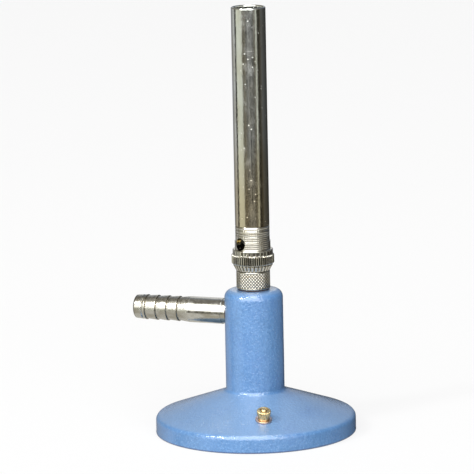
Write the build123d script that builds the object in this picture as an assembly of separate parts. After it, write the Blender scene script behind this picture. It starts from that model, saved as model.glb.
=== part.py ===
from build123d import *
import math
import os

os.makedirs("parts", exist_ok=True)

# Laboratory gas burner. Millimetres, +Z up. The origin is on the burner's axis, in the plane
# that the base stands on. The hose nozzle points along -X. Threads are plain cylinders at their
# nominal size. "Below" and "above" are along Z, and every z is a height over the bench.

# Fits
THREAD_GAP = 0.02      # radial, between screwed parts that stay together
RUNNING_GAP = 0.04     # radial, between parts that turn on each other
END_GAP = 0.2          # along the axis, between the faces of parts that turn on each other
PAST = 1.0             # how far a cutter runs past the face it opens

# Base casting
BASE_R = 38.0
CONE_APEX_Z = 20.0     # where the line of the cone meets the axis
CONE_SLOPE = 0.355     # fall per millimetre of radius
RIM_ROUND = 2.0
FOOT_ROUND = 0.5
COLUMN_FOOT_R = 11.15
COLUMN_TOP_R = 11.1
COLUMN_TOP_Z = 54.8
COLUMN_TOP_ROUND = 3.0
COLUMN_FILLET = 2.5
SHELL_DROP = 4.0       # height of the iron between the cone's two faces
RIM_WALL = 4.5
ROOF_R = 10.0          # radius of the flat roof of the hollow
HOLLOW_ROUND = 1.2

# Gas passages in the column
INLET_Z = 45.6
PASSAGE_R = 2.0
SPOT_FACE_R = 5.1
SPOT_FACE_X = 9.75     # distance of the spot face from the axis
SPIGOT_R = 3.5
SPIGOT_END_X = 4.0
JET_THREAD_R = 5.0
JET_THREAD_Z = 50.4    # lower end of the jet body's thread

# Hose nozzle, measured from the burner's axis towards its tip. Each barb rises at a shoulder that
# faces the column, and tapers towards the tip.
SEAL_R = 4.7
SEAL_THICK = 0.5
RELIEF_R = 4.75        # the shank is a little thinner beside the column
RELIEF_END_X = 12.0
SHANK_R = 4.95
SHANK_END_X = 25.5
BARB_X = 29.9          # crest of the barb nearest the column
BARB_PITCH = 4.37
BARB_COUNT = 4
BARB_ROOT_R = 4.45
BARB_CREST_R = 4.85
BARB_STEP = 0.3        # length of a barb's shoulder
TIP_X = 47.7
TIP_R = 4.45
TIP_ROUND = 0.6
TIP_GROOVE_X = 44.2
TIP_GROOVE_R = 4.4
TIP_GROOVE_WIDTH = 0.7
TIP_GROOVE_EDGE_R = 4.68
NOZZLE_BORE_R = 3.0
SPIGOT_BORE_R = 2.2

# Jet body and jet
GASKET_R = 6.0
GASKET_THICK = 0.5
BOSS_R = 6.4
BOSS_TOP_Z = 62.1
BOSS_ROUND = 0.3
NIPPLE_R = 4.2
NIPPLE_TOP_Z = 67.7
JET_SCREW_R = 2.5
JET_SCREW_LENGTH = 4.0
JET_HEX_ACROSS = 6.0
JET_HEX_HEIGHT = 1.8
JET_CONE_R = 2.3
JET_TIP_R = 1.2
JET_TIP_Z = 71.7
JET_BORE_R = 1.2
ORIFICE_R = 0.4
ORIFICE_LENGTH = 1.0

# Barrel
TUBE_R = 6.5
TUBE_BORE_R = 5.6
TUBE_Z = 79.4
MOUTH_Z = 162.0
MOUTH_ROUND = 0.3
FOOT_R = 5.5
FOOT_THREAD_TOP_Z = 68.3
FOOT_BORE_R = 4.7
SPIGOT_SEAT_R = 5.8    # the tube is bored out where it is pressed over the foot's spigot
SPIGOT_TOP_Z = 85.0
SPIGOT_SEAT_TOP_Z = 85.4
AIR_HOLE_R = 2.4
AIR_HOLE_Z = 72.7
AIR_HOLE_ANGLES = (-116.0, 64.0)   # degrees from +X about +Z

# Air regulator
REGULATOR_Z = 62.4
CONE_FOOT_R = 6.5
LOW_BAND_R = 7.45
LOW_BAND_Z = 64.2
GRIP_R = 8.05
GRIP_Z = 64.8
GRIP_TOP_Z = 68.4
GRIP_TEETH = 60
GRIP_DEPTH = 0.3
GRIP_EDGE = 0.35
STEP_R = 7.6
STEP_TOP_Z = 70.4
WAIST_R = 6.75
WAIST_TOP_Z = 73.6
SLEEVE_R = 6.5
LINE_HEIGHTS = (75.8, 76.7, 77.9)
LINE_WIDTH = 0.3
LINE_DEPTH = 0.15
SLEEVE_BEVEL = 0.45    # height of the bevel at the top edge
SLEEVE_BEVEL_R = 6.3

# Drag ring, a split ring of spring wire in a groove that the barrel and the regulator share
RING_GROOVE_Z = 64.3
RING_GROOVE_HEIGHT = 1.0
RING_GROOVE_R_IN = 4.95
RING_GROOVE_R_OUT = 5.95
RING_GAP = 0.06
RING_SPLIT = 1.5

# Terminal on the cone: a screw through the shell, square to its face, with a thumb nut outside.
# Heights are over the flat spot that the outer washer lies on.
TERMINAL_R = 27.15
TERMINAL_ANGLE = -63.6  # degrees from +X about +Z
TERMINAL_SINK = 0.06    # depth of the flat spots
SEAT_GAP = 0.02         # under the outer washer and under the thumb nut, which unscrew by hand
SCREW_R = 1.25
SCREW_HOLE_R = 1.4
SCREW_TOP = 4.9
SCREW_HEAD_R = 2.75
SCREW_HEAD_THICK = 2.0
SCREW_HEAD_ROUND = 0.4
SCREW_END_ROUND = 0.8
SCREW_SLOT_WIDTH = 0.8
SCREW_SLOT_DEPTH = 0.9
WASHER_R = 3.1
OUTER_WASHER_THICK = 0.7
INNER_WASHER_THICK = 0.5
FLAT_SPOT_R = 3.3
NUT_NECK_R = 2.15
NUT_NECK_TOP = 2.5
NUT_HEAD_R = 2.6
NUT_TOP = 4.4
NUT_RECESS_R = 1.6
NUT_RECESS_DEPTH = 0.7
NUT_EDGE = 0.3
NUT_TEETH = 24
NUT_KNURL_DEPTH = 0.2


def cone_z(radius):
    """Height of the base's cone at a distance from the axis."""
    return CONE_APEX_Z - CONE_SLOPE * radius


def turned(corners):
    """Solid of revolution about Z. A corner is (radius, z) or (radius, z, rounding)."""
    points = [corner[:2] for corner in corners]
    roundings = [corner[2] if len(corner) > 2 else 0 for corner in corners]
    with BuildPart() as part:
        with BuildSketch(Plane.XZ):
            with BuildLine():
                FilletPolyline(*points, radius=roundings, close=True)
            make_face()
        revolve(axis=Axis.Z)
    return part.part


def ring(radius_in, radius_out, low, high):
    """Plain ring about Z."""
    return turned([(radius_in, low), (radius_out, low), (radius_out, high), (radius_in, high)])


def rod(radius, low, high):
    """Plain cylinder about Z."""
    return turned([(0, low), (radius, low), (radius, high), (0, high)])


def toothed(radius, depth, teeth, low, high):
    """Prism about Z with V-shaped teeth all round, as a straight knurl leaves."""
    points = []
    for tooth in range(teeth):
        for share, reach in ((0.0, radius), (0.5, radius - depth)):
            angle = 2 * math.pi * (tooth + share) / teeth
            points.append((reach * math.cos(angle), reach * math.sin(angle)))
    with BuildPart() as part:
        with BuildSketch(Plane.XY.offset(low)):
            with BuildLine():
                Polyline(*points, close=True)
            make_face()
        extrude(amount=high - low)
    return part.part


def along_nozzle(solid):
    """Turn a solid made about +Z so that it lies along the nozzle, with z = 0 on the axis."""
    return Pos(0, 0, INLET_Z) * Rot(0, -90, 0) * solid


def terminal_place(solid):
    """Stand a solid made about +Z on the cone, where the terminal is."""
    tilt = math.degrees(math.atan(CONE_SLOPE))
    place = Pos(TERMINAL_R, 0, cone_z(TERMINAL_R)) * Rot(0, tilt, 0) * Pos(0, 0, -TERMINAL_SINK)
    return Rot(0, 0, TERMINAL_ANGLE) * place * solid


def terminal_inner_seat():
    """Height of the flat spot inside the shell, over the one outside it."""
    thickness = SHELL_DROP * math.cos(math.atan(CONE_SLOPE))
    return 2 * TERMINAL_SINK - thickness


def base_casting():
    """Hollow conical base with a solid column, drilled for the gas."""
    body = turned([
        (0, 0),
        (BASE_R, 0, FOOT_ROUND),
        (BASE_R, cone_z(BASE_R), RIM_ROUND),
        (COLUMN_FOOT_R, cone_z(COLUMN_FOOT_R), COLUMN_FILLET),
        (COLUMN_TOP_R, COLUMN_TOP_Z, COLUMN_TOP_ROUND),
        (0, COLUMN_TOP_Z),
    ])
    wall_r = BASE_R - RIM_WALL
    hollow = turned([
        (0, -PAST),
        (wall_r, -PAST),
        (wall_r, cone_z(wall_r) - SHELL_DROP, HOLLOW_ROUND),
        (ROOF_R, cone_z(ROOF_R) - SHELL_DROP, HOLLOW_ROUND),
        (0, cone_z(ROOF_R) - SHELL_DROP),
    ])
    inner_seat = terminal_inner_seat()
    cuts = [
        hollow,
        rod(JET_THREAD_R + THREAD_GAP, JET_THREAD_Z - END_GAP, COLUMN_TOP_Z + PAST),
        rod(PASSAGE_R, INLET_Z - PASSAGE_R, JET_THREAD_Z),
        along_nozzle(rod(SPOT_FACE_R, SPOT_FACE_X, COLUMN_FOOT_R + PAST)),
        along_nozzle(rod(SPIGOT_R + THREAD_GAP, SPIGOT_END_X - END_GAP, SPOT_FACE_X + PAST)),
        along_nozzle(rod(PASSAGE_R, -PASSAGE_R, SPIGOT_END_X)),
        terminal_place(rod(SCREW_HOLE_R, inner_seat - PAST, PAST)),
        terminal_place(rod(FLAT_SPOT_R, 0, PAST)),
        terminal_place(rod(FLAT_SPOT_R, inner_seat - PAST, inner_seat)),
    ]
    for cut in cuts:
        body = body - cut
    return body


def nozzle_seal_washer():
    """Fibre washer between the nozzle's shank and the column's spot face."""
    hole_r = SPIGOT_R + 2 * THREAD_GAP
    return along_nozzle(ring(hole_r, SEAL_R, SPOT_FACE_X, SPOT_FACE_X + SEAL_THICK))


def hose_nozzle():
    """Barbed gas inlet, screwed into the column."""
    seat_x = SPOT_FACE_X + SEAL_THICK
    half_groove = TIP_GROOVE_WIDTH / 2
    crests = [BARB_X + barb * BARB_PITCH for barb in range(BARB_COUNT)]
    corners = [
        (SPIGOT_BORE_R, SPIGOT_END_X),
        (SPIGOT_R, SPIGOT_END_X),
        (SPIGOT_R, seat_x),
        (RELIEF_R, seat_x),
        (RELIEF_R, RELIEF_END_X),
        (SHANK_R, RELIEF_END_X),
        (SHANK_R, SHANK_END_X),
    ]
    for crest_x in crests:
        corners += [(BARB_ROOT_R, crest_x - BARB_STEP), (BARB_CREST_R, crest_x)]
    corners += [
        (TIP_GROOVE_EDGE_R, TIP_GROOVE_X - half_groove),
        (TIP_GROOVE_R, TIP_GROOVE_X),
        (TIP_GROOVE_EDGE_R, TIP_GROOVE_X + half_groove),
        (TIP_R, TIP_X, TIP_ROUND),
        (NOZZLE_BORE_R, TIP_X, TIP_ROUND),
        (NOZZLE_BORE_R, seat_x),
        (SPIGOT_BORE_R, seat_x),
    ]
    return along_nozzle(turned(corners))


def jet_body_gasket():
    """Fibre ring under the jet body."""
    return ring(JET_THREAD_R + 2 * THREAD_GAP, GASKET_R, COLUMN_TOP_Z, COLUMN_TOP_Z + GASKET_THICK)


def jet_body():
    """Boss that screws into the column, with the nipple that the barrel screws on to."""
    seat_z = COLUMN_TOP_Z + GASKET_THICK
    jet_seat_z = NIPPLE_TOP_Z - JET_SCREW_LENGTH
    return turned([
        (PASSAGE_R, JET_THREAD_Z),
        (JET_THREAD_R, JET_THREAD_Z),
        (JET_THREAD_R, seat_z),
        (BOSS_R, seat_z, BOSS_ROUND),
        (BOSS_R, BOSS_TOP_Z, BOSS_ROUND),
        (NIPPLE_R, BOSS_TOP_Z),
        (NIPPLE_R, NIPPLE_TOP_Z),
        (JET_SCREW_R + THREAD_GAP, NIPPLE_TOP_Z),
        (JET_SCREW_R + THREAD_GAP, jet_seat_z),
        (PASSAGE_R, jet_seat_z),
    ])


def gas_jet():
    """Brass jet in the nipple: screw, hexagon, cone and orifice."""
    screw_foot_z = NIPPLE_TOP_Z - JET_SCREW_LENGTH + END_GAP
    cone_z_low = NIPPLE_TOP_Z + JET_HEX_HEIGHT
    screw = rod(JET_SCREW_R, screw_foot_z, NIPPLE_TOP_Z)
    outline = RegularPolygon(radius=JET_HEX_ACROSS / 2, side_count=6, major_radius=False)
    hexagon = extrude(Plane.XY.offset(NIPPLE_TOP_Z) * outline, amount=JET_HEX_HEIGHT)
    cone = turned([
        (0, cone_z_low),
        (JET_CONE_R, cone_z_low),
        (JET_TIP_R, JET_TIP_Z),
        (0, JET_TIP_Z),
    ])
    bore = rod(JET_BORE_R, screw_foot_z - PAST, JET_TIP_Z - ORIFICE_LENGTH)
    orifice = rod(ORIFICE_R, screw_foot_z, JET_TIP_Z + PAST)
    return screw + hexagon + cone - bore - orifice


def air_hole_cutters():
    """Round cutters from the axis outwards, one for each air hole."""
    hole = Pos(0, 0, AIR_HOLE_Z) * Rot(0, 90, 0) * rod(AIR_HOLE_R, 0, GRIP_R)
    return [Rot(0, 0, angle) * hole for angle in AIR_HOLE_ANGLES]


def barrel_foot():
    """Threaded foot of the barrel, with the mixing chamber and the air holes."""
    groove_top = RING_GROOVE_Z + RING_GROOVE_HEIGHT
    body = turned([
        (NIPPLE_R + RUNNING_GAP, REGULATOR_Z),
        (FOOT_R, REGULATOR_Z),
        (FOOT_R, RING_GROOVE_Z),
        (RING_GROOVE_R_IN, RING_GROOVE_Z),
        (RING_GROOVE_R_IN, groove_top),
        (FOOT_R, groove_top),
        (FOOT_R, TUBE_Z),
        (SPIGOT_SEAT_R, TUBE_Z),
        (SPIGOT_SEAT_R, SPIGOT_TOP_Z),
        (FOOT_BORE_R, SPIGOT_TOP_Z),
        (FOOT_BORE_R, FOOT_THREAD_TOP_Z),
        (NIPPLE_R + RUNNING_GAP, FOOT_THREAD_TOP_Z),
    ])
    for cutter in air_hole_cutters():
        body = body - cutter
    return body


def barrel_tube():
    """Plain flame tube, pressed over the barrel's foot."""
    return turned([
        (SPIGOT_SEAT_R, TUBE_Z),
        (TUBE_R, TUBE_Z),
        (TUBE_R, MOUTH_Z, MOUTH_ROUND),
        (TUBE_BORE_R, MOUTH_Z, MOUTH_ROUND),
        (TUBE_BORE_R, SPIGOT_SEAT_TOP_Z),
        (SPIGOT_SEAT_R, SPIGOT_SEAT_TOP_Z),
    ])


def air_regulator():
    """Sleeve that turns on the barrel's foot and covers or clears its air holes."""
    bore_r = FOOT_R + RUNNING_GAP
    half_line = LINE_WIDTH / 2
    groove_top = RING_GROOVE_Z + RING_GROOVE_HEIGHT
    corners = [
        (bore_r, REGULATOR_Z),
        (CONE_FOOT_R, REGULATOR_Z),
        (LOW_BAND_R, LOW_BAND_Z),
        (LOW_BAND_R, GRIP_Z),
        (GRIP_R - GRIP_EDGE, GRIP_Z),
        (GRIP_R, GRIP_Z + GRIP_EDGE),
        (GRIP_R, GRIP_TOP_Z - GRIP_EDGE),
        (GRIP_R - GRIP_EDGE, GRIP_TOP_Z),
        (STEP_R, GRIP_TOP_Z),
        (STEP_R, STEP_TOP_Z, LINE_WIDTH),
        (WAIST_R, STEP_TOP_Z),
        (WAIST_R, WAIST_TOP_Z),
        (SLEEVE_R, WAIST_TOP_Z),
    ]
    for height in LINE_HEIGHTS:
        corners += [
            (SLEEVE_R, height - half_line),
            (SLEEVE_R - LINE_DEPTH, height),
            (SLEEVE_R, height + half_line),
        ]
    corners += [
        (SLEEVE_R, TUBE_Z - END_GAP - SLEEVE_BEVEL),
        (SLEEVE_BEVEL_R, TUBE_Z - END_GAP),
        (bore_r, TUBE_Z - END_GAP),
        (bore_r, groove_top),
        (RING_GROOVE_R_OUT, groove_top),
        (RING_GROOVE_R_OUT, RING_GROOVE_Z),
        (bore_r, RING_GROOVE_Z),
    ]
    body = turned(corners)
    grip_blank = ring(STEP_R, GRIP_R + PAST, GRIP_Z, GRIP_TOP_Z)
    body = body - (grip_blank - toothed(GRIP_R, GRIP_DEPTH, GRIP_TEETH, GRIP_Z, GRIP_TOP_Z))
    for cutter in air_hole_cutters():
        body = body - cutter
    return body


def regulator_drag_ring():
    """Split spring ring that keeps the regulator on the barrel and gives it drag."""
    low = RING_GROOVE_Z + RING_GAP
    high = RING_GROOVE_Z + RING_GROOVE_HEIGHT - RING_GAP
    whole = ring(RING_GROOVE_R_IN + RING_GAP, RING_GROOVE_R_OUT - RING_GAP, low, high)
    split = Box(RING_GROOVE_R_OUT, RING_SPLIT, 2 * RING_GROOVE_HEIGHT)
    return whole - Pos(RING_GROOVE_R_OUT, 0, RING_GROOVE_Z) * split


def terminal_washer():
    """Flat washer under the thumb nut, captive on it."""
    return terminal_place(ring(SCREW_HOLE_R, WASHER_R, SEAT_GAP, OUTER_WASHER_THICK))


def terminal_inner_washer():
    """Flat washer over the screw's head, inside the shell."""
    seat = terminal_inner_seat()
    return terminal_place(ring(SCREW_HOLE_R, WASHER_R, seat - INNER_WASHER_THICK, seat))


def terminal_screw():
    """Cheese-head screw whose rounded end stands out of the thumb nut."""
    head_top = terminal_inner_seat() - INNER_WASHER_THICK
    head_foot = head_top - SCREW_HEAD_THICK
    body = turned([
        (0, head_foot),
        (SCREW_HEAD_R, head_foot, SCREW_HEAD_ROUND),
        (SCREW_HEAD_R, head_top),
        (SCREW_R, head_top),
        (SCREW_R, SCREW_TOP, SCREW_END_ROUND),
        (0, SCREW_TOP),
    ])
    slot = Pos(0, 0, head_foot) * Box(2 * SCREW_HEAD_R, SCREW_SLOT_WIDTH, 2 * SCREW_SLOT_DEPTH)
    return terminal_place(body - slot)


def terminal_thumb_nut():
    """Round nut with a plain neck and a knurled head."""
    foot = OUTER_WASHER_THICK + SEAT_GAP
    bore_r = SCREW_R + RUNNING_GAP
    body = turned([
        (bore_r, foot),
        (NUT_NECK_R, foot),
        (NUT_NECK_R, NUT_NECK_TOP),
        (NUT_HEAD_R - NUT_EDGE, NUT_NECK_TOP),
        (NUT_HEAD_R, NUT_NECK_TOP + NUT_EDGE),
        (NUT_HEAD_R, NUT_TOP - NUT_EDGE),
        (NUT_HEAD_R - NUT_EDGE, NUT_TOP),
        (NUT_RECESS_R, NUT_TOP),
        (NUT_RECESS_R, NUT_TOP - NUT_RECESS_DEPTH),
        (bore_r, NUT_TOP - NUT_RECESS_DEPTH),
    ])
    head_blank = ring(NUT_NECK_R, NUT_HEAD_R + PAST, NUT_NECK_TOP, NUT_TOP)
    knurl = toothed(NUT_HEAD_R, NUT_KNURL_DEPTH, NUT_TEETH, NUT_NECK_TOP, NUT_TOP)
    return terminal_place(body - (head_blank - knurl))


PARTS = (
    base_casting,
    nozzle_seal_washer,
    hose_nozzle,
    jet_body_gasket,
    jet_body,
    gas_jet,
    barrel_foot,
    barrel_tube,
    air_regulator,
    regulator_drag_ring,
    terminal_washer,
    terminal_inner_washer,
    terminal_screw,
    terminal_thumb_nut,
)

for make in PARTS:
    export_step(make(), os.path.join("parts", make.__name__ + ".step"))
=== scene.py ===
import math

import bmesh
import bpy
import numpy as np
from mathutils import Matrix, Vector, noise


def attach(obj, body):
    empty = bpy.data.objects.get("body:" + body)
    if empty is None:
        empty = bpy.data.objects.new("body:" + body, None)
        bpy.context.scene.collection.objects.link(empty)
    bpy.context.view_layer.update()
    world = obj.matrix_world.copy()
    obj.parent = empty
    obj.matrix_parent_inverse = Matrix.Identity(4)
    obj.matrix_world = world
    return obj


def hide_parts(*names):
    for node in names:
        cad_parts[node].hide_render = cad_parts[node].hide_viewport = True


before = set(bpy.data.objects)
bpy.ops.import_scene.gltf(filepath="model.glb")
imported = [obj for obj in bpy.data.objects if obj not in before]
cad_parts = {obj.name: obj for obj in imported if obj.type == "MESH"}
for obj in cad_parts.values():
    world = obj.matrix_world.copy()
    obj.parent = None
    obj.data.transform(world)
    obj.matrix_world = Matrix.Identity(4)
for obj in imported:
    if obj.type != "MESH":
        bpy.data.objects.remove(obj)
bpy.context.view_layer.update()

# Laboratory gas burner. The burner's sizes are in millimetres and degrees, and become metres when a mesh
# is made. The camera and the lamps are placed in metres. An outline runs anticlockwise, with the radius
# to the right and z upwards.

MM = 0.001
SHARP_ANGLE = 35          # faces that meet at more than this keep a sharp edge
AXIS_R = 1e-6             # points nearer to the axis than this lie on it
MERGE_DISTANCE = 1e-7     # metres
FEWEST_ARC_STEPS = 3
STEP_SLACK = 0.01         # part of a step by which a run may be too long for its number of steps
ROD_SIDES = 96
CUT_PAST = 2              # how far a cutting rod reaches past the surface
BAND_EDGE = 0.15
KNURL_STEEPNESS = 1.6     # 1 for sharp teeth, more for flatter crests

# Camera, with its distances in metres
CAMERA_AZIMUTH = 20.6
CAMERA_SIDE = CAMERA_AZIMUTH - 90     # azimuth of the camera itself, seen from the burner
CAMERA_ELEVATION = 10.6
CAMERA_DISTANCE = 1.3554
CAMERA_LENS = 273.4
CAMERA_SENSOR = 36
CAMERA_CLIP = (0.1, 20)
CAMERA_ROLL = 1.15
AIM_HEIGHT = 0.07481
AIM_SHIFT = -0.005828     # across the view, from the burner's axis

# Floor, with its radius in metres
FLOOR_R = 5
FLOOR_SIDES = 64
FLOOR_GREY = 0.12
FLOOR_ROUGHNESS = 0.9
FLOOR_GLOW = 0.765        # evens out the lamps' light on it

# Base
BASE_R = 38.0
CONE_APEX_Z = 20.0
CONE_SLOPE = 0.355
RIM_ROUND = 2.0
FOOT_ROUND = 0.5
COLUMN_FOOT_R = 11.15
COLUMN_TOP_R = 11.1
COLUMN_TOP_Z = 54.8
COLUMN_TOP_ROUND = 3.0
COLUMN_FILLET = 1.6
SHELL_DROP = 4.0
RIM_WALL = 4.5
ROOF_R = 10.0
HOLLOW_ROUND = 1.2
SOCKET_R = 5.02
SOCKET_Z = 50.2
SPOT_FACE_R = 5.1
SPOT_FACE_X = 9.75
BASE_STEP = 0.42
BASE_SIDES = 420
# Hammered paint, with its lumps and its sag as (height, length, seed) for waves()
PAINT_LUMPS = (0.016, 1.5, 3.1)
PAINT_DIMPLES = (0.010, 0.8, 7.7)
PAINT_SAG = (0.03, 11, 1.3)
PAINT_SUNK = 0.05         # how far the paint lies inside the outline, apart from its lumps
PAINT_FOOT_Z = 0.6        # no lumps below this, within this of the bore, or deeper than the shell
PAINT_BORE_EDGE = 0.3
PAINT_SHELL = 1.0

# Nozzle, measured from the burner's axis
INLET_Z = 45.6
NOZZLE_SEAT_X = 10.25
RELIEF_R = 4.75
RELIEF_END_X = 12.0
SHANK_R = 4.95
SHANK_END_X = 25.5
BARB_X = 29.9
BARB_PITCH = 4.37
BARB_COUNT = 4
BARB_ROOT_R = 4.45
BARB_CREST_R = 4.85
BARB_STEP = 0.3
TIP_X = 47.7
TIP_R = 4.45
TIP_ROUND = 0.6
TIP_GROOVE_X = 44.2
TIP_GROOVE_R = 4.4
TIP_GROOVE_EDGE_R = 4.68
TIP_GROOVE_WIDTH = 0.7
NOZZLE_BORE_R = 3.0
SPIGOT_R = 3.5
SPIGOT_END_X = 4.0
SPIGOT_BORE_R = 2.2
SHANK_START_ROUND = 0.15
SHANK_END_ROUND = 0.4
BARB_ROUND = 0.08
NOZZLE_STEP = 0.25
NOZZLE_SIDES = 180
NOZZLE_WEAR = 0.012
NOZZLE_WEAR_LENGTH = 2.5
NOZZLE_WEAR_SEED = 5.5
SHOULDER_SUNK = 0.03      # the material finds the barbs' shoulders by this
SHOULDER_SHARE = 0.06     # of the pitch, to each side
NOZZLE_WALL_EDGE = 0.5

# Jet body
SEAT_Z = 55.3
JET_THREAD_R = 5.0
JET_THREAD_Z = 50.4
PASSAGE_R = 2.0
BOSS_R = 6.4
BOSS_TOP_Z = 62.1
BOSS_EDGE = 0.5           # plain band above and below the knurl
BOSS_KNURL = 32
BOSS_KNURL_RISE = 1.26    # height of one diamond
BOSS_KNURL_DEPTH = 0.18
NIPPLE_R = 4.2
NIPPLE_TOP_Z = 67.7
JET_SCREW_R = 2.52
JET_SEAT_Z = 63.7
BOSS_ROUND = 0.3
BOSS_STEP = 0.1
BOSS_SKIN = 0.05          # what lies this near to the boss's outside is knurled
POINTS_PER_DIAMOND = 16

# Flame tube
TUBE_R = 6.5
TUBE_BORE_R = 5.6
TUBE_Z = 79.4
SPIGOT_SEAT_R = 5.8
SPIGOT_SEAT_TOP_Z = 85.4
MOUTH_Z = 162.0
MOUTH_ROUND = 0.42
TUBE_STEP = 0.4
TUBE_SIDES = 192
# Unevenness of the tube and of its lip, as (height, length, seed) for waves()
TUBE_WAVES = (0.004, 4, 9.1)
LIP_WAVES = (0.05, 0.8, 2.2)
LIP_HEIGHT = 0.7
LIP_SUNK = 0.02           # how far the lip and the tube lie inside the outline, apart from the waves
TUBE_SUNK = 0.03

# Air regulator
REGULATOR_Z = 62.4
REGULATOR_BORE_R = 5.54
REGULATOR_TOP_Z = 79.2
CONE_FOOT_R = 6.5
LOW_BAND_R = 7.45
LOW_BAND_Z = 64.2
GRIP_R = 8.05
GRIP_Z = 64.8
GRIP_TOP_Z = 68.4
GRIP_TEETH = 60
GRIP_DEPTH = 0.34
GRIP_EDGE = 0.35
STEP_R = 7.6
STEP_TOP_Z = 70.4
STEP_FLUTES = 30
STEP_FLUTE_DEPTH = 0.18
FOOT_FLUTE_DEPTH = 0.22
WAIST_R = 6.75
WAIST_TOP_Z = 73.6
SLEEVE_R = 6.5
SLEEVE_RING_PITCH = 0.75  # turned rings and fine upright scores on the waist and the sleeve
SLEEVE_RING_DEPTH = 0.06
SLEEVE_SCORES = 60
SLEEVE_SCORE_DEPTH = 0.03
SLEEVE_BEVEL = 0.45
SLEEVE_BEVEL_R = 6.3
LINE_HEIGHTS = (75.8, 76.7, 77.9)
LINE_WIDTH = 0.34
LINE_DEPTH = 0.16
RING_GROOVE_Z = 64.3
RING_GROOVE_TOP_Z = 65.3
RING_GROOVE_R = 5.95
REGULATOR_STEP = 0.15
REGULATOR_ROUND = 0.3
WAIST_ROUND = 0.1
POINTS_PER_TOOTH = 8
TOOTH_STEEPNESS = 1.5     # 1 for sharp teeth, more for flatter crests
SURFACE_SLACK = 0.05      # what lies this near to a surface's radius belongs to it
GRIP_SLACK = 0.02
SCORES_CLEAR = 0.2        # from the step to the lowest ring
AIR_HOLE_R = 2.4
AIR_HOLE_Z = 72.7
AIR_HOLE_START_R = 2      # the cut starts inside the bore
AIR_HOLE_ANGLES = (-116.0, 64.0)

# Terminal, with heights over the flat spot that its washer lies on
TERMINAL_R = 27.15
TERMINAL_ANGLE = -63.6
TERMINAL_SINK = 0.06
SEAT_GAP = 0.02
WASHER_R = 3.1
WASHER_HOLE_R = 1.4
WASHER_THICK = 0.7
NUT_BORE_R = 1.29
NUT_NECK_R = 2.15
NUT_NECK_TOP = 2.5
NUT_HEAD_R = 2.6
NUT_TOP = 4.4
NUT_RECESS_R = 1.6
NUT_RECESS_DEPTH = 0.3
NUT_EDGE = 0.3
NUT_TEETH = 24
NUT_KNURL_DEPTH = 0.16
NUT_SKIN = 0.25           # what lies this near to the head's outside is knurled
NUT_FOOT_ROUND = 0.15
WASHER_FOOT_ROUND = 0.12
TERMINAL_ROUND = 0.1
TERMINAL_STEP = 0.1
WASHER_SIDES = 96


def cone_z(radius):
    """Height of the base's cone at a distance from the axis."""
    return CONE_APEX_Z - CONE_SLOPE * radius


# ---- Outlines -------------------------------------------------------------------------------------

def corner_arc(before, here, after, rounding, step):
    """Points of the arc that rounds a corner, or the corner itself."""
    if not rounding:
        return [here]
    to_before = (before - here).normalized()
    to_after = (after - here).normalized()
    half = to_before.angle(to_after) / 2
    centre = here + (to_before + to_after).normalized() * rounding / math.sin(half)
    start = here + to_before * rounding / math.tan(half) - centre
    sweep = start.angle_signed(here + to_after * rounding / math.tan(half) - centre)
    count = max(FEWEST_ARC_STEPS, math.ceil(abs(sweep) * rounding / step))
    return [centre + Matrix.Rotation(-sweep * i / count, 2) @ start for i in range(count + 1)]


def outline(corners, step, plain=()):
    """Closed outline through (radius, z) or (radius, z, rounding) corners. Runs that start at one of
    the corners have points a step apart, and runs that start at a plain corner have none."""
    every = [*corners, *plain]
    places = [Vector(corner[:2]) for corner in every]
    bends, steps = [], []
    for index, corner in enumerate(every):
        after = places[(index + 1) % len(places)]
        rounding = corner[2] if len(corner) > 2 else 0
        arc = corner_arc(places[index - 1], places[index], after, rounding, step)
        bends += arc
        steps += [step if index < len(corners) else math.inf] * len(arc)
    points = []
    for start, end, stride in zip(bends, bends[1:] + bends[:1], steps):
        pieces = max(1, math.ceil((end - start).length / stride - STEP_SLACK))
        points += [start.lerp(end, piece / pieces) for piece in range(pieces)]
    return np.array(points)


# ---- Meshes ---------------------------------------------------------------------------------------

def finish_mesh(piece, body, slot, material, *nodes):
    """Shade a piece, give it its material and tie it to the frame."""
    piece.data.materials.clear()
    piece.data.materials.append(material)
    piece.data.polygons.foreach_set("use_smooth", [True] * len(piece.data.polygons))
    piece.data.set_sharp_from_angle(angle=math.radians(SHARP_ANGLE))
    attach(piece, body)
    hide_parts(*nodes)
    return piece


def lathe(name, points, around, relief=None, place=Matrix.Identity(4)):
    """Mesh of revolution of a closed outline. relief(angle, radius, z) is how far the surface stands
    out of the outline, in millimetres, and is kept in the mesh as the attribute "relief"."""
    run = np.roll(points, -1, 0) - np.roll(points, 1, 0)
    out = np.stack([run[:, 1], -run[:, 0]], 1) / np.linalg.norm(run, axis=1)[:, None]
    turn = np.arange(around) * 2 * np.pi / around
    angle = np.tile(turn, len(points))
    radius, z = np.repeat(points, around, 0).T
    lift = np.zeros(len(angle)) if relief is None else relief(angle, radius, z)
    lift = np.where(radius < AXIS_R, 0, lift)
    normal_r, normal_z = np.repeat(out, around, 0).T
    radius = radius + lift * normal_r
    z = z + lift * normal_z
    vertices = np.stack([radius * np.cos(angle), radius * np.sin(angle), z], 1) * MM
    row, column = np.meshgrid(np.arange(len(points)), np.arange(around), indexing="ij")
    next_row = (row + 1) % len(points)
    next_column = (column + 1) % around
    quads = np.stack([
        row * around + column,
        row * around + next_column,
        next_row * around + next_column,
        next_row * around + column,
    ], -1).reshape(-1, 4)
    mesh = bpy.data.meshes.new(name)
    mesh.from_pydata(vertices.tolist(), [], quads.tolist())
    mesh.attributes.new("relief", "FLOAT", "POINT").data.foreach_set("value", lift.astype(np.float32))
    mesh.transform(place)
    work = bmesh.new()
    work.from_mesh(mesh)
    bmesh.ops.remove_doubles(work, verts=work.verts, dist=MERGE_DISTANCE)
    work.to_mesh(mesh)
    work.free()
    piece = bpy.data.objects.new(name, mesh)
    bpy.context.scene.collection.objects.link(piece)
    return piece


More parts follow.
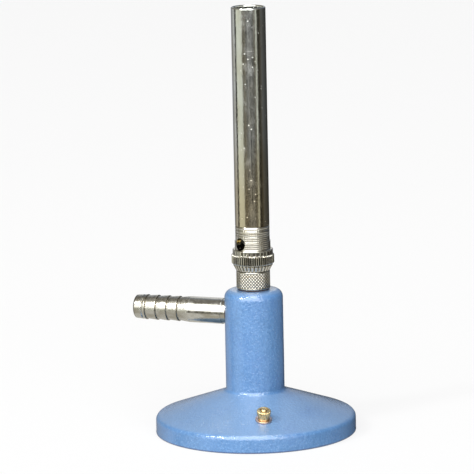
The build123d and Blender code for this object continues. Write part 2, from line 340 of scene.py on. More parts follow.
def cut(piece, tool):
    """Take the tool's solid out of the piece."""
    modifier = piece.modifiers.new("cut", "BOOLEAN")
    modifier.operation = "DIFFERENCE"
    modifier.solver = "EXACT"
    modifier.object = tool
    evaluated = piece.evaluated_get(bpy.context.evaluated_depsgraph_get())
    mesh = bpy.data.meshes.new_from_object(evaluated)
    piece.modifiers.clear()
    piece.data = mesh
    bpy.data.objects.remove(tool)


def rod(radius, low, high, place):
    """Plain cylinder, for cutting."""
    points = outline([(0, low), (radius, low), (radius, high), (0, high)], high - low)
    return lathe("rod", points, ROD_SIDES, place=place)


def waves(angle, radius, z, length, seed):
    """Smooth noise over a turned surface, from -1 to 1, with lumps about one length across."""
    x = radius * np.cos(angle) / length + seed
    y = radius * np.sin(angle) / length
    return np.array([noise.noise((a, b, c)) for a, b, c in zip(x, y, z / length)])


def ridge(phase):
    """Triangular wave of a phase in turns: 1 on whole numbers, 0 halfway."""
    return np.abs(2 * (phase % 1) - 1)


def diamonds(angle, z, count, rise):
    """Diamond knurl: 1 on the points, 0 in the crossing grooves."""
    around = angle * count / (2 * np.pi)
    groove = np.minimum(ridge(around + z / rise), ridge(around - z / rise))
    return np.clip(groove * KNURL_STEEPNESS, 0, 1)


def band(z, low, high):
    """1 between two heights, falling to 0 within an edge inside them."""
    return np.clip(np.minimum(z - low, high - z) / BAND_EDGE, 0, 1)


def along_nozzle():
    """Place of a piece turned about +Z that lies along the nozzle."""
    return Matrix.Translation((0, 0, INLET_Z * MM)) @ Matrix.Rotation(math.radians(-90), 4, "Y")


def on_terminal():
    """Place of a piece turned about +Z that stands on the cone, where the terminal is."""
    spot = Vector((TERMINAL_R, 0, cone_z(TERMINAL_R))) * MM
    return (
        Matrix.Rotation(math.radians(TERMINAL_ANGLE), 4, "Z")
        @ Matrix.Translation(spot)
        @ Matrix.Rotation(math.atan(CONE_SLOPE), 4, "Y")
        @ Matrix.Translation((0, 0, -TERMINAL_SINK * MM))
    )


# ---- Materials ------------------------------------------------------------------------------------

# Colour sockets of a Mix node, where other kinds of socket share their names
MIX_FIRST = 6
MIX_SECOND = 7
MIX_RESULT = 2


class Nodes:
    """Short calls that make and join the nodes of one tree."""

    def __init__(self, tree):
        self.tree = tree

    def node(self, kind, **settings):
        made = self.tree.nodes.new("ShaderNode" + kind)
        for key, value in settings.items():
            setattr(made, key, value)
        return made

    def join(self, value, socket):
        """Feed a socket from another node, or with a plain value."""
        if isinstance(value, bpy.types.NodeSocket):
            self.tree.links.new(value, socket)
        else:
            socket.default_value = value

    def math(self, operation, *values):
        made = self.node("Math", operation=operation)
        for value, socket in zip(values, made.inputs):
            self.join(value, socket)
        return made.outputs[0]

    def blend(self, share, first, second, kind="MIX"):
        """Colour between two colours."""
        made = self.node("Mix", data_type="RGBA", blend_type=kind)
        self.join(share, made.inputs["Factor"])
        self.join(first, made.inputs[MIX_FIRST])
        self.join(second, made.inputs[MIX_SECOND])
        return made.outputs[MIX_RESULT]


class Surface(Nodes):
    """A Principled material, with short calls for the nodes that vary it."""

    def __init__(self, name, **values):
        self.material = bpy.data.materials.new(name)
        self.material.use_nodes = True
        super().__init__(self.material.node_tree)
        self.shader = self.tree.nodes["Principled BSDF"]
        self.place = self.node("TexCoord").outputs["Object"]
        for socket, value in values.items():
            self.shader.inputs[socket.replace("_", " ")].default_value = value

    def scaled_place(self, size, stretch=(1, 1, 1)):
        """Place on the piece, with this many millimetres, times the stretch, as one unit."""
        mapping = self.node("Mapping")
        mapping.inputs["Scale"].default_value = [1 / (size * MM * part) for part in stretch]
        self.join(self.place, mapping.inputs["Vector"])
        return mapping.outputs["Vector"]

    def grain(self, size, detail=2.0, stretch=(1, 1, 1)):
        """Noise from 0 to 1 with lumps of about this size in millimetres, times the stretch."""
        made = self.node("TexNoise")
        made.inputs["Scale"].default_value = 1.0
        made.inputs["Detail"].default_value = detail
        self.join(self.scaled_place(size, stretch), made.inputs["Vector"])
        return made.outputs["Fac"]

    def cells(self, size):
        """Distance to the nearest of scattered points, about this many millimetres apart."""
        made = self.node("TexVoronoi", feature="F1")
        made.inputs["Scale"].default_value = 1.0
        self.join(self.scaled_place(size), made.inputs["Vector"])
        return made.outputs["Distance"]

    def axis(self, output, index):
        """One coordinate of the place or the normal on the piece."""
        made = self.node("SeparateXYZ")
        self.join(self.node("TexCoord").outputs[output], made.inputs[0])
        return made.outputs[index]

    def relief(self):
        """How far the surface stands out of its outline, in millimetres."""
        return self.node("Attribute", attribute_name="relief").outputs["Fac"]

    def span(self, value, low, high, to_low=0.0, to_high=1.0):
        """Smooth step of a value from one range to another."""
        made = self.node("MapRange", interpolation_type="SMOOTHSTEP")
        made.inputs["From Min"].default_value = low
        made.inputs["From Max"].default_value = high
        made.inputs["To Min"].default_value = to_low
        made.inputs["To Max"].default_value = to_high
        self.join(value, made.inputs["Value"])
        return made.outputs["Result"]

    def bump(self, *layers):
        """Bump made of (height from 0 to 1, depth in millimetres) layers."""
        normal = None
        for height, depth in layers:
            made = self.node("Bump")
            made.inputs["Distance"].default_value = depth * MM
            self.join(height, made.inputs["Height"])
            if normal:
                self.join(normal, made.inputs["Normal"])
            normal = made.outputs["Normal"]
        self.join(normal, self.shader.inputs["Normal"])
        self.join(normal, self.shader.inputs["Coat Normal"])

    def colour(self, value):
        self.join(value, self.shader.inputs["Base Color"])

    def roughness(self, value):
        self.join(value, self.shader.inputs["Roughness"])


def rgb(red, green, blue):
    """Colour from sRGB values of 0 to 255."""
    def linear(value):
        value /= 255
        return value / 12.92 if value <= 0.04045 else ((value + 0.055) / 1.055) ** 2.4
    return (linear(red), linear(green), linear(blue), 1.0)


def enamel():
    """Glossy blue enamel with a hammered, orange-peel skin, a little uneven in colour, with painted light:
    a painted sheen where it faces up, painted glints in flecks, painted shade in the hollows and a painted
    shadow along the foot."""
    made = Surface("enamel", Coat_Weight=1.0, Coat_Roughness=0.05, Coat_IOR=1.65)
    fine = made.grain(0.9, 3)
    drift = made.span(made.grain(9, 2), 0.35, 0.65)
    lighter = made.span(fine, 0.35, 0.65, to_high=0.5)
    # painted sheen: lighter, greyer colour where the paint faces up, standing in for light from above
    painted_upward_sheen = made.span(made.axis("Normal", 2), 0.55, 0.94, to_high=0.35)
    # painted highlight: pale flecks that stand in for the hammered skin catching the light
    painted_glint = made.span(made.grain(0.45, 2), 0.62, 0.76, to_high=0.45)
    # painted shade: a darker blue where the paint surface dips into its hollows
    painted_hollow_shade = made.span(made.relief(), -0.09, -0.045, to_low=0.35, to_high=0)
    # painted shadow: the paint darkens towards the floor along the foot, standing in for the contact
    # shadow
    foot = made.span(made.axis("Object", 2), 0.3 * MM, 0.9 * MM, to_low=0.7, to_high=0)
    base = made.blend(drift, rgb(66, 108, 153), rgb(72, 113, 159))
    base = made.blend(lighter, base, rgb(86, 128, 174))
    base = made.blend(painted_upward_sheen, base, rgb(126, 148, 174))
    base = made.blend(painted_glint, base, rgb(150, 180, 212))
    base = made.blend(painted_hollow_shade, base, rgb(46, 86, 146))
    made.colour(made.blend(foot, base, rgb(26, 40, 84)))
    made.roughness(made.span(fine, 0.3, 0.7, to_low=0.38, to_high=0.50))
    orange_peel = (made.grain(1.0, 2), 0.18)
    dimples = (made.grain(0.45, 2), 0.05)
    made.bump(orange_peel, dimples)
    return made.material


def nozzle_nickel():
    """Bright nickel over turned brass: fine turning marks, brown and grey tarnish, duller and worn over
    the barbs, painted shade on their shoulders and a painted dark reflection at the mouth."""
    made = Surface("nozzle_nickel", Metallic=1.0)
    along = made.axis("Object", 0)
    tarnish = made.span(made.grain(3.2, 3, stretch=(2.5, 1, 1)), 0.44, 0.70)
    stain = made.span(made.grain(0.5, 3), 0.55, 0.8, to_high=0.6)
    barbed = made.span(along, -27 * MM, -24 * MM, to_low=1.0, to_high=0.0)
    # painted shade: the barbs' shoulders get a darker colour
    off_shoulder_shade = made.span(made.relief(), -0.040, -0.028)
    # painted reflection: the end of the tip, at its mouth, darkens as if mirroring something dark
    painted_dark_mouth = made.span(along, -47.6 * MM, -46.8 * MM, to_low=0.8, to_high=0.0)
    base = made.blend(tarnish, rgb(206, 205, 197), rgb(172, 168, 154))
    base = made.blend(stain, base, rgb(158, 150, 136))
    base = made.blend(made.math("MULTIPLY", barbed, 0.28), base, rgb(142, 138, 126))
    base = made.blend(off_shoulder_shade, rgb(146, 139, 122), base)
    made.colour(made.blend(painted_dark_mouth, base, rgb(72, 68, 60)))
    smooth = made.span(made.grain(1.6, 3), 0.3, 0.75, to_low=0.13, to_high=0.26)
    made.roughness(made.math("ADD", smooth, made.math("MULTIPLY", barbed, 0.10)))
    turning = (made.grain(0.16, 2, stretch=(1, 60, 60)), 0.003)
    uneven = (made.grain(0.8, 2), 0.012)
    worn = (made.math("MULTIPLY", made.grain(0.9, 3), barbed), 0.09)
    made.bump(turning, uneven, worn)
    return made.material


def knurled_nickel():
    """Nickel plate over knurled brass, darkened in the grooves with painted shade."""
    made = Surface("knurled_nickel", Metallic=1.0)
    # painted shade: the knurl grooves get a dark colour, the crests stay bright
    unshaded_crest = made.span(made.relief(), -0.22, -0.02)
    stain = made.span(made.grain(1.5, 4), 0.5, 0.75, to_high=0.5)
    base = made.blend(unshaded_crest, rgb(78, 76, 66), rgb(200, 197, 186))
    made.colour(made.blend(stain, base, rgb(168, 156, 130)))
    made.roughness(made.span(made.grain(0.8, 3), 0.3, 0.7, to_low=0.10, to_high=0.24))
    made.bump((made.grain(0.35, 3), 0.008))
    return made.material


def tube_chrome():
    """Bright, lightly beaten plate with fine pits, drawing marks along the tube and a warm tint in its
    lower part."""
    made = Surface("tube_chrome", Metallic=1.0)
    tint = made.span(made.grain(6, 3, stretch=(1, 1, 3)), 0.4, 0.7)
    warm = made.span(made.axis("Object", 2), 85 * MM, 122 * MM, to_low=0.75, to_high=0)
    plate = made.blend(tint, rgb(206, 208, 204), rgb(190, 188, 176))
    made.colour(made.blend(warm, plate, rgb(190, 176, 144)))
    dulled = made.grain(1.8, 4, stretch=(1, 1, 2))
    made.roughness(made.span(dulled, 0.35, 0.75, to_low=0.07, to_high=0.24))
    drawn = (made.grain(0.25, 2, stretch=(1, 1, 40)), 0.0015)
    pits = (made.span(made.cells(2.1), 0.05, 0.15), 0.05)
    beaten = (made.grain(0.5, 3, stretch=(1, 1, 2)), 0.034)
    fine = (made.grain(0.26, 2), 0.010)
    made.bump(drawn, pits, beaten, fine)
    return made.material


def turned_metal(name, bright, dull, rough):
    """Turned metal with tarnish in blotches and a fine grain."""
    made = Surface(name, Metallic=1.0)
    made.colour(made.blend(made.span(made.grain(0.8, 4), 0.4, 0.7), bright, dull))
    made.roughness(made.span(made.grain(0.5, 3), 0.3, 0.7, to_low=rough, to_high=rough + 0.15))
    made.bump((made.grain(0.2, 3), 0.006))
    return made.material


def fibre():
    """Dark vulcanised fibre."""
    made = Surface("fibre", Specular_IOR_Level=0.3)
    made.colour(made.blend(made.grain(0.3, 4), rgb(44, 38, 40), rgb(72, 60, 58)))
    made.roughness(made.span(made.grain(0.3, 3), 0.3, 0.7, to_low=0.6, to_high=0.8))
    made.bump((made.grain(0.12, 3), 0.01))
    return made.material


# ---- Base -----------------------------------------------------------------------------------------

def paint_relief(angle, radius, z):
    """Lumps of the hammered enamel on the outside, none on the underside, the bore or the foot."""
    outside = (z > cone_z(radius) - PAINT_SHELL) | (radius > BASE_R - RIM_ROUND)
    outside = outside & (radius > SOCKET_R + PAINT_BORE_EDGE) & (z > PAINT_FOOT_Z)
    lumps = sum(
        height * waves(angle, radius, z, length, seed)
        for height, length, seed in (PAINT_LUMPS, PAINT_DIMPLES, PAINT_SAG)
    )
    return np.where(outside, lumps - PAINT_SUNK, 0)


def base_body(material):
    """The painted casting."""
    wall_r = BASE_R - RIM_WALL
    corners = [
        (wall_r, 0),
        (BASE_R, 0, FOOT_ROUND),
        (BASE_R, cone_z(BASE_R), RIM_ROUND),
        (COLUMN_FOOT_R, cone_z(COLUMN_FOOT_R), COLUMN_FILLET),
        (COLUMN_TOP_R, COLUMN_TOP_Z, COLUMN_TOP_ROUND),
    ]
    inside = [
        (SOCKET_R, COLUMN_TOP_Z),
        (SOCKET_R, SOCKET_Z),
        (0, SOCKET_Z),
        (0, cone_z(ROOF_R) - SHELL_DROP),
        (ROOF_R, cone_z(ROOF_R) - SHELL_DROP, HOLLOW_ROUND),
        (wall_r, cone_z(wall_r) - SHELL_DROP, HOLLOW_ROUND),
    ]
    piece = lathe("base_body", outline(corners, BASE_STEP, inside), BASE_SIDES, paint_relief)
    cut(piece, rod(SPOT_FACE_R, SPOT_FACE_X, COLUMN_FOOT_R + CUT_PAST, along_nozzle()))
    return finish_mesh(piece, "root", "blue_enamel", material, "base_casting")


def nozzle_body(material):
    """The barbed hose nozzle."""
    half_groove = TIP_GROOVE_WIDTH / 2
    corners = [
        (SPIGOT_BORE_R, SPIGOT_END_X),
        (SPIGOT_R, SPIGOT_END_X),
        (SPIGOT_R, NOZZLE_SEAT_X),
        (RELIEF_R, NOZZLE_SEAT_X),
        (RELIEF_R, RELIEF_END_X),
        (SHANK_R, RELIEF_END_X, SHANK_START_ROUND),
        (SHANK_R, SHANK_END_X, SHANK_END_ROUND),
    ]
    for barb in range(BARB_COUNT):
        crest_x = BARB_X + barb * BARB_PITCH
        corners += [
            (BARB_ROOT_R, crest_x - BARB_STEP, BARB_ROUND),
            (BARB_CREST_R, crest_x, BARB_ROUND),
        ]
    corners += [
        (TIP_GROOVE_EDGE_R, TIP_GROOVE_X - half_groove),
        (TIP_GROOVE_R, TIP_GROOVE_X),
        (TIP_GROOVE_EDGE_R, TIP_GROOVE_X + half_groove),
        (TIP_R, TIP_X, TIP_ROUND),
        (NOZZLE_BORE_R, TIP_X, TIP_ROUND),
        (NOZZLE_BORE_R, NOZZLE_SEAT_X),
        (SPIGOT_BORE_R, NOZZLE_SEAT_X),
    ]

    def dents(angle, radius, z):
        along = (z - BARB_X + BARB_STEP / 2) / BARB_PITCH
        at_shoulder = np.abs(along - np.clip(np.round(along), 0, BARB_COUNT - 1)) < SHOULDER_SHARE
        lumps = waves(angle, radius, z, NOZZLE_WEAR_LENGTH, NOZZLE_WEAR_SEED)
        wear = NOZZLE_WEAR * lumps - NOZZLE_WEAR
        return wear - SHOULDER_SUNK * (at_shoulder & (radius > NOZZLE_BORE_R + NOZZLE_WALL_EDGE))

    piece = lathe("nozzle_body", outline(corners, NOZZLE_STEP), NOZZLE_SIDES, dents, along_nozzle())
    return finish_mesh(piece, "root", "nozzle_nickel", material, "hose_nozzle")


# ---- Jet body, tube and regulator -----------------------------------------------------------------

def jet_body_piece(material):
    """Knurled boss that screws into the column, with the nipple inside the barrel."""
    low, high = SEAT_Z + BOSS_EDGE, BOSS_TOP_Z - BOSS_EDGE
    corners = [
        (BOSS_R, SEAT_Z, BOSS_ROUND),
        (BOSS_R, BOSS_TOP_Z, BOSS_ROUND),
    ]
    inside = [
        (NIPPLE_R, BOSS_TOP_Z),
        (NIPPLE_R, NIPPLE_TOP_Z),
        (JET_SCREW_R, NIPPLE_TOP_Z),
        (JET_SCREW_R, JET_SEAT_Z),
        (PASSAGE_R, JET_SEAT_Z),
        (PASSAGE_R, JET_THREAD_Z),
        (JET_THREAD_R, JET_THREAD_Z),
        (JET_THREAD_R, SEAT_Z),
    ]

    def knurl(angle, radius, z):
        points = diamonds(angle, z, BOSS_KNURL, BOSS_KNURL_RISE)
        return BOSS_KNURL_DEPTH * (points - 1) * band(z, low, high) * (radius > BOSS_R - BOSS_SKIN)

    points = outline(corners, BOSS_STEP, inside)
    piece = lathe("jet_body_knurled", points, POINTS_PER_DIAMOND * BOSS_KNURL, knurl)
    return finish_mesh(piece, "root", "knurled_nickel", material, "jet_body")


def tube_piece(material):
    """Flame tube, drawn and plated, slightly uneven."""
    corners = [
        (SPIGOT_SEAT_R, TUBE_Z),
        (TUBE_R, TUBE_Z),
        (TUBE_R, MOUTH_Z, MOUTH_ROUND),
        (TUBE_BORE_R, MOUTH_Z, MOUTH_ROUND),
        (TUBE_BORE_R, SPIGOT_SEAT_TOP_Z),
        (SPIGOT_SEAT_R, SPIGOT_SEAT_TOP_Z),
    ]

    def unevenness(angle, radius, z):
        near_lip = np.clip((z - MOUTH_Z + LIP_HEIGHT) / LIP_HEIGHT, 0, 1)
        height, length, seed = LIP_WAVES
        lip = near_lip * (height * waves(angle, radius, z, length, seed) - LIP_SUNK)
        height, length, seed = TUBE_WAVES
        return height * waves(angle, radius, z, length, seed) + lip - TUBE_SUNK

    piece = lathe("flame_tube", outline(corners, TUBE_STEP), TUBE_SIDES, unevenness)
    return finish_mesh(piece, "barrel", "tube_chrome", material, "barrel_tube")


def regulator_piece(material):
    """Sleeve with a fluted foot, a straight-knurled grip, a fluted step and a ringed, scored waist."""
    corners = [
        (CONE_FOOT_R, REGULATOR_Z),
        (LOW_BAND_R, LOW_BAND_Z, REGULATOR_ROUND),
        (LOW_BAND_R, GRIP_Z),
        (GRIP_R - GRIP_EDGE, GRIP_Z),
        (GRIP_R, GRIP_Z + GRIP_EDGE),
        (GRIP_R, GRIP_TOP_Z - GRIP_EDGE),
        (GRIP_R - GRIP_EDGE, GRIP_TOP_Z),
        (STEP_R, GRIP_TOP_Z),
        (STEP_R, STEP_TOP_Z, REGULATOR_ROUND),
        (WAIST_R, STEP_TOP_Z),
        (WAIST_R, WAIST_TOP_Z, WAIST_ROUND),
        (SLEEVE_R, WAIST_TOP_Z),
    ]
    for height in LINE_HEIGHTS:
        corners += [
            (SLEEVE_R, height - LINE_WIDTH / 2),
            (SLEEVE_R - LINE_DEPTH, height),
            (SLEEVE_R, height + LINE_WIDTH / 2),
        ]
    corners += [
        (SLEEVE_R, REGULATOR_TOP_Z - SLEEVE_BEVEL),
        (SLEEVE_BEVEL_R, REGULATOR_TOP_Z),
    ]
    inside = [
        (REGULATOR_BORE_R, REGULATOR_TOP_Z),
        (REGULATOR_BORE_R, RING_GROOVE_TOP_Z),
        (RING_GROOVE_R, RING_GROOVE_TOP_Z),
        (RING_GROOVE_R, RING_GROOVE_Z),
        (REGULATOR_BORE_R, RING_GROOVE_Z),
        (REGULATOR_BORE_R, REGULATOR_Z),
    ]

    def knurls(angle, radius, z):
        turn = angle / (2 * np.pi)
        teeth = np.clip(TOOTH_STEEPNESS * ridge(turn * GRIP_TEETH), 0, 1)
        grip = GRIP_DEPTH * (teeth - 1) * (radius > STEP_R + GRIP_SLACK)
        flutes = np.clip(TOOTH_STEEPNESS * ridge(turn * STEP_FLUTES), 0, 1) - 1
        on_step = (np.abs(radius - STEP_R) < SURFACE_SLACK) & (z > GRIP_TOP_Z)
        step = STEP_FLUTE_DEPTH * flutes * on_step * band(z, GRIP_TOP_Z, STEP_TOP_Z - REGULATOR_ROUND)
        on_foot = (radius > CONE_FOOT_R - SURFACE_SLACK) & (z < GRIP_Z)
        foot = FOOT_FLUTE_DEPTH * flutes * on_foot * band(z, REGULATOR_Z, GRIP_Z)
        on_sleeve = (radius > SLEEVE_R - LINE_DEPTH) & (radius < WAIST_R + SURFACE_SLACK)
        turning = SLEEVE_RING_DEPTH * (np.cos(2 * np.pi * z / SLEEVE_RING_PITCH) - 1) / 2
        scoring = SLEEVE_SCORE_DEPTH * (ridge(turn * SLEEVE_SCORES) - 1)
        scored = band(z, STEP_TOP_Z + SCORES_CLEAR, REGULATOR_TOP_Z - SLEEVE_BEVEL)
        return grip + step + foot + (turning + scoring) * on_sleeve * scored

    points = outline(corners, REGULATOR_STEP, inside)
    piece = lathe("air_collar", points, POINTS_PER_TOOTH * GRIP_TEETH, knurls)
    for angle in AIR_HOLE_ANGLES:
        turned = Matrix.Rotation(math.radians(angle), 4, "Z") @ Matrix.Translation((0, 0, AIR_HOLE_Z * MM))
        lying = Matrix.Rotation(math.radians(90), 4, "Y")
        cut(piece, rod(AIR_HOLE_R, AIR_HOLE_START_R, GRIP_R + CUT_PAST, turned @ lying))
    return finish_mesh(piece, "regulator", "knurled_nickel", material, "air_regulator")


# ---- Terminal -------------------------------------------------------------------------------------

def washer_piece(material):
    """Flat washer under the thumb nut."""
    corners = [
        (WASHER_HOLE_R, SEAT_GAP),
        (WASHER_R, SEAT_GAP, WASHER_FOOT_ROUND),
        (WASHER_R, WASHER_THICK, TERMINAL_ROUND),
        (WASHER_HOLE_R, WASHER_THICK),
    ]
    points = outline(corners, TERMINAL_STEP)
    piece = lathe("copper_washer", points, WASHER_SIDES, place=on_terminal())
    return finish_mesh(piece, "nut_washer", "washer_copper", material, "terminal_washer")


def nut_piece(material):
    """Thumb nut: plain neck, knurled head and a shallow recess round the screw's end."""
    foot = WASHER_THICK + SEAT_GAP
    corners = [
        (NUT_BORE_R, foot),
        (NUT_NECK_R, foot, NUT_FOOT_ROUND),
        (NUT_NECK_R, NUT_NECK_TOP, TERMINAL_ROUND),
        (NUT_HEAD_R - NUT_EDGE, NUT_NECK_TOP),
        (NUT_HEAD_R, NUT_NECK_TOP + NUT_EDGE, TERMINAL_ROUND),
        (NUT_HEAD_R, NUT_TOP - NUT_EDGE, TERMINAL_ROUND),
        (NUT_HEAD_R - NUT_EDGE, NUT_TOP, TERMINAL_ROUND),
        (NUT_RECESS_R, NUT_TOP, TERMINAL_ROUND),
        (NUT_RECESS_R, NUT_TOP - NUT_RECESS_DEPTH),
        (NUT_BORE_R, NUT_TOP - NUT_RECESS_DEPTH),
    ]

    def knurl(angle, radius, z):
        teeth = np.clip(KNURL_STEEPNESS * ridge(angle * NUT_TEETH / (2 * np.pi)), 0, 1)
        on_head = (radius > NUT_HEAD_R - NUT_SKIN) & (z > NUT_NECK_TOP)
        return NUT_KNURL_DEPTH * (teeth - 1) * on_head

    points = outline(corners, TERMINAL_STEP)
    piece = lathe("thumb_nut", points, POINTS_PER_TOOTH * NUT_TEETH, knurl, on_terminal())
    return finish_mesh(piece, "thumb_nut", "terminal_brass", material, "terminal_thumb_nut")


# ---- Stage, lights and camera ---------------------------------------------------------------------

def direction(azimuth, elevation):
    """Unit vector from the burner at an azimuth and an elevation in degrees."""
    azimuth, elevation = math.radians(azimuth), math.radians(elevation)
    return Vector((
        math.cos(azimuth) * math.cos(elevation),
        math.sin(azimuth) * math.cos(elevation),
        math.sin(elevation),
    ))


def make_camera():
    """The camera of the reference view."""
    back = direction(CAMERA_SIDE, CAMERA_ELEVATION)
    across = direction(CAMERA_AZIMUTH, 0)
    camera = bpy.data.objects.new("camera", bpy.data.cameras.new("camera"))
    camera.data.lens = CAMERA_LENS
    camera.data.sensor_width = CAMERA_SENSOR
    camera.data.clip_start, camera.data.clip_end = CAMERA_CLIP
    camera.location = across * AIM_SHIFT + Vector((0, 0, AIM_HEIGHT)) + back * CAMERA_DISTANCE
    facing = (-back).to_track_quat("-Z", "Y").to_matrix()
    camera.rotation_euler = (facing @ Matrix.Rotation(math.radians(-CAMERA_ROLL), 3, "Z")).to_euler()
    bpy.context.scene.collection.objects.link(camera)
    bpy.context.scene.camera = camera


def make_floor():
    """Pale floor that the metal doesn't mirror."""
    work = bmesh.new()
    bmesh.ops.create_circle(work, cap_ends=True, segments=FLOOR_SIDES, radius=FLOOR_R)
    mesh = bpy.data.meshes.new("floor")
    work.to_mesh(mesh)
    work.free()
    floor = bpy.data.objects.new("floor", mesh)
    bpy.context.scene.collection.objects.link(floor)
    paper = Surface("paper", Roughness=FLOOR_ROUGHNESS, Emission_Strength=FLOOR_GLOW)
    paper.colour(grey(FLOOR_GREY))
    paper.shader.inputs["Emission Color"].default_value = grey(1)
    mesh.materials.append(paper.material)
    floor.visible_glossy = False


def grey(level, tint=(1, 1, 1)):
    """Colour of a light of this level and tint."""
    return (*(level * part for part in tint), 1)


# What the metal mirrors, as (degrees round from the camera's side, + to its right, and colour) stops
CREAM = (0.98, 1.0, 0.88)
BROWN = (1.0, 0.91, 0.72)
COOL = (0.85, 0.95, 1.15)
NEUTRAL = (1.0, 1.0, 0.97)
WALLS = [
    (-180, grey(0.22, COOL)),
    (-135, grey(0.40)),
    (-120, grey(0.68)),
    (-109, grey(0.68)),
    (-106, grey(0.02)),
    (-95, grey(0.02, BROWN)),
    (-91, grey(1.0, CREAM)),
    (-50, grey(0.85, CREAM)),
    (-45, grey(0.11, BROWN)),
    (-32, grey(0.14, BROWN)),
    (-10, grey(0.21, NEUTRAL)),
    (18, grey(0.21, NEUTRAL)),
    (37, grey(0.11, BROWN)),
    (43, grey(0.14, BROWN)),
    (46, grey(0.85, CREAM)),
    (52, grey(0.80, CREAM)),
    (56, grey(0.08, BROWN)),
    (70, grey(0.04, BROWN)),
    (84, grey(0.12, BROWN)),
    (92, grey(0.13)),
    (130, grey(0.06)),
    (179, grey(0.03)),
]
UPPER_WALLS = [
    (-180, grey(0.9)),
    (-175, grey(0.9)),
    (-171, grey(0.32, COOL)),
    (-148, grey(0.20, BROWN)),
    (-125, grey(0.20, BROWN)),
    (-100, grey(0.30, BROWN)),
    (-70, grey(0.40, BROWN)),
    (-60, grey(0.7)),
    (-53, grey(4.0)),
    (30, grey(4.0)),
    (38, grey(0.9)),
    (60, grey(0.24, BROWN)),
    (110, grey(0.16, COOL)),
    (171, grey(0.32, COOL)),
    (175, grey(0.9)),
    (179, grey(0.9)),
]
# Things on the bench, out of focus: where they stand, and their light as (noise, colour) stops. They break
# up the dark middle of the tube.
IN_FRONT = [(-46, grey(0)), (-42, grey(1)), (37, grey(1)), (41, grey(0))]
CLUTTER = [(0.42, grey(0.10)), (0.50, grey(0.62)), (0.58, grey(2.9))]
CLUTTER_SCALE = 14.0
CLUTTER_DETAIL = 3.0
CEILING = grey(0.22, (1.0, 0.95, 0.88))
FLOOR_LIGHT = grey(0.78, (1.0, 0.98, 0.93))
BACKDROP = grey(0.955)
# Elevations, in degrees, over which one part of the studio gives way to the next above it
TO_WALLS = (-24, -17)
TO_UPPER_WALLS = (-3.5, 9)
TO_CEILING = (54, 66)


def make_world():
    """The studio that lights the burner and that the metal mirrors: bright paper at the left with a
    dimmer sheet behind it, narrow strips at the right and high up behind, a large window high in
    front, a lit floor and dim walls. The camera itself sees a plain backdrop."""
    world = bpy.data.worlds.new("studio")
    bpy.context.scene.world = world
    world.use_nodes = True
    sky = Nodes(world.node_tree)
    sky.tree.nodes.clear()

    def ramp(value, stops):
        made = sky.node("ValToRGB")
        elements = made.color_ramp.elements
        while len(elements) > 1:
            elements.remove(elements[0])
        for index, (place, colour) in enumerate(stops):
            element = elements[0] if index == 0 else elements.new(place)
            element.position = place
            element.color = colour
        sky.join(value, made.inputs["Fac"])
        return made.outputs["Color"]

    def round_ramp(stops):
        return ramp(side, [((angle + 180) / 360, colour) for angle, colour in stops])

    def above(limits):
        low, high = limits
        return ramp(rise, [((low + 90) / 180, grey(0)), ((high + 90) / 180, grey(1))])

    turned = sky.node("Mapping", vector_type="POINT")
    turned.inputs["Rotation"].default_value = (0, 0, math.radians(-CAMERA_SIDE))
    sky.join(sky.node("TexCoord").outputs["Generated"], turned.inputs["Vector"])
    parts = sky.node("SeparateXYZ")
    sky.join(turned.outputs["Vector"], parts.inputs["Vector"])
    side = sky.math("ARCTAN2", parts.outputs["Y"], parts.outputs["X"])
    side = sky.math("MULTIPLY_ADD", side, 0.5 / math.pi, 0.5)
    rise = sky.math("ARCSINE", parts.outputs["Z"])
    rise = sky.math("MULTIPLY_ADD", rise, 1 / math.pi, 0.5)

    clutter = sky.node("TexNoise")
    clutter.inputs["Scale"].default_value = CLUTTER_SCALE
    clutter.inputs["Detail"].default_value = CLUTTER_DETAIL
    sky.join(turned.outputs["Vector"], clutter.inputs["Vector"])
    bench = sky.blend(round_ramp(IN_FRONT), grey(1), ramp(clutter.outputs["Fac"], CLUTTER))
    walls = sky.blend(1.0, round_ramp(WALLS), bench, "MULTIPLY")
    colour = sky.blend(above(TO_WALLS), FLOOR_LIGHT, walls)
    colour = sky.blend(above(TO_UPPER_WALLS), colour, round_ramp(UPPER_WALLS))
    colour = sky.blend(above(TO_CEILING), colour, CEILING)

    studio = sky.node("Background")
    sky.join(colour, studio.inputs["Color"])
    backdrop = sky.node("Background")
    backdrop.inputs["Color"].default_value = BACKDROP
    both = sky.node("MixShader")
    sky.join(sky.node("LightPath").outputs["Is Camera Ray"], both.inputs["Fac"])
    sky.join(studio.outputs[0], both.inputs[1])
    sky.join(backdrop.outputs[0], both.inputs[2])
    sky.join(both.outputs[0], sky.node("OutputWorld").inputs["Surface"])


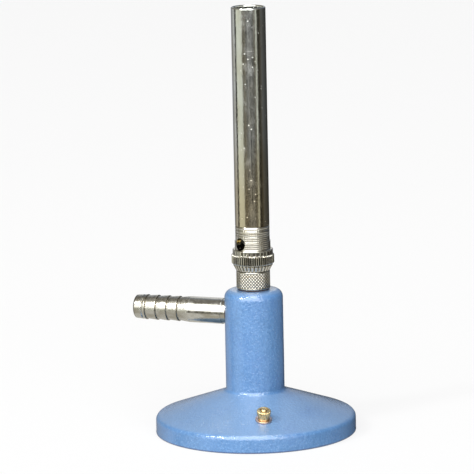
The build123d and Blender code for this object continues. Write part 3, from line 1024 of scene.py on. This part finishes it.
def make_lamp(name, turn, rise, distance, width, height, power):
    """Soft rectangular lamp aimed at the burner. turn is from the camera's side, + to its right."""
    towards = direction(CAMERA_SIDE + turn, rise)
    lamp = bpy.data.objects.new(name, bpy.data.lights.new(name, "AREA"))
    lamp.data.shape = "RECTANGLE"
    lamp.data.size = width
    lamp.data.size_y = height
    lamp.data.energy = power
    lamp.location = Vector((0, 0, AIM_HEIGHT)) + towards * distance
    lamp.rotation_euler = (-towards).to_track_quat("-Z", "Y").to_euler()
    bpy.context.scene.collection.objects.link(lamp)


# ---- The burner -----------------------------------------------------------------------------------

bpy.context.scene.view_settings.view_transform = "Standard"
make_camera()
make_floor()
make_world()
make_lamp("overhead", turn=0, rise=74, distance=1.5, width=0.6, height=1.1, power=11)
make_lamp("left_key", turn=-55, rise=38, distance=1.5, width=0.2, height=0.2, power=8)

materials = {
    "enamel": enamel(),
    "nozzle_nickel": nozzle_nickel(),
    "knurled_nickel": knurled_nickel(),
    "tube_chrome": tube_chrome(),
    "terminal_brass": turned_metal("terminal_brass", rgb(226, 204, 154), rgb(186, 160, 112), 0.28),
    "jet_brass": turned_metal("jet_brass", rgb(226, 196, 120), rgb(176, 146, 84), 0.25),
    "washer_copper": turned_metal("washer_copper", rgb(226, 202, 188), rgb(188, 152, 136), 0.26),
    "spring_steel": turned_metal("spring_steel", rgb(150, 150, 152), rgb(112, 112, 114), 0.25),
    "fibre": fibre(),
}

CARRIED_OVER = {
    "nozzle_seal_washer": "fibre",
    "jet_body_gasket": "fibre",
    "gas_jet": "jet_brass",
    "barrel_foot": "nozzle_nickel",
    "regulator_drag_ring": "spring_steel",
    "terminal_inner_washer": "spring_steel",
    "terminal_screw": "terminal_brass",
}
for node_name, material_name in CARRIED_OVER.items():
    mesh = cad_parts[node_name].data
    mesh.materials.clear()
    mesh.materials.append(materials[material_name])

base_body(materials["enamel"])
nozzle_body(materials["nozzle_nickel"])
jet_body_piece(materials["knurled_nickel"])
tube_piece(materials["tube_chrome"])
regulator_piece(materials["knurled_nickel"])
washer_piece(materials["washer_copper"])
nut_piece(materials["terminal_brass"])
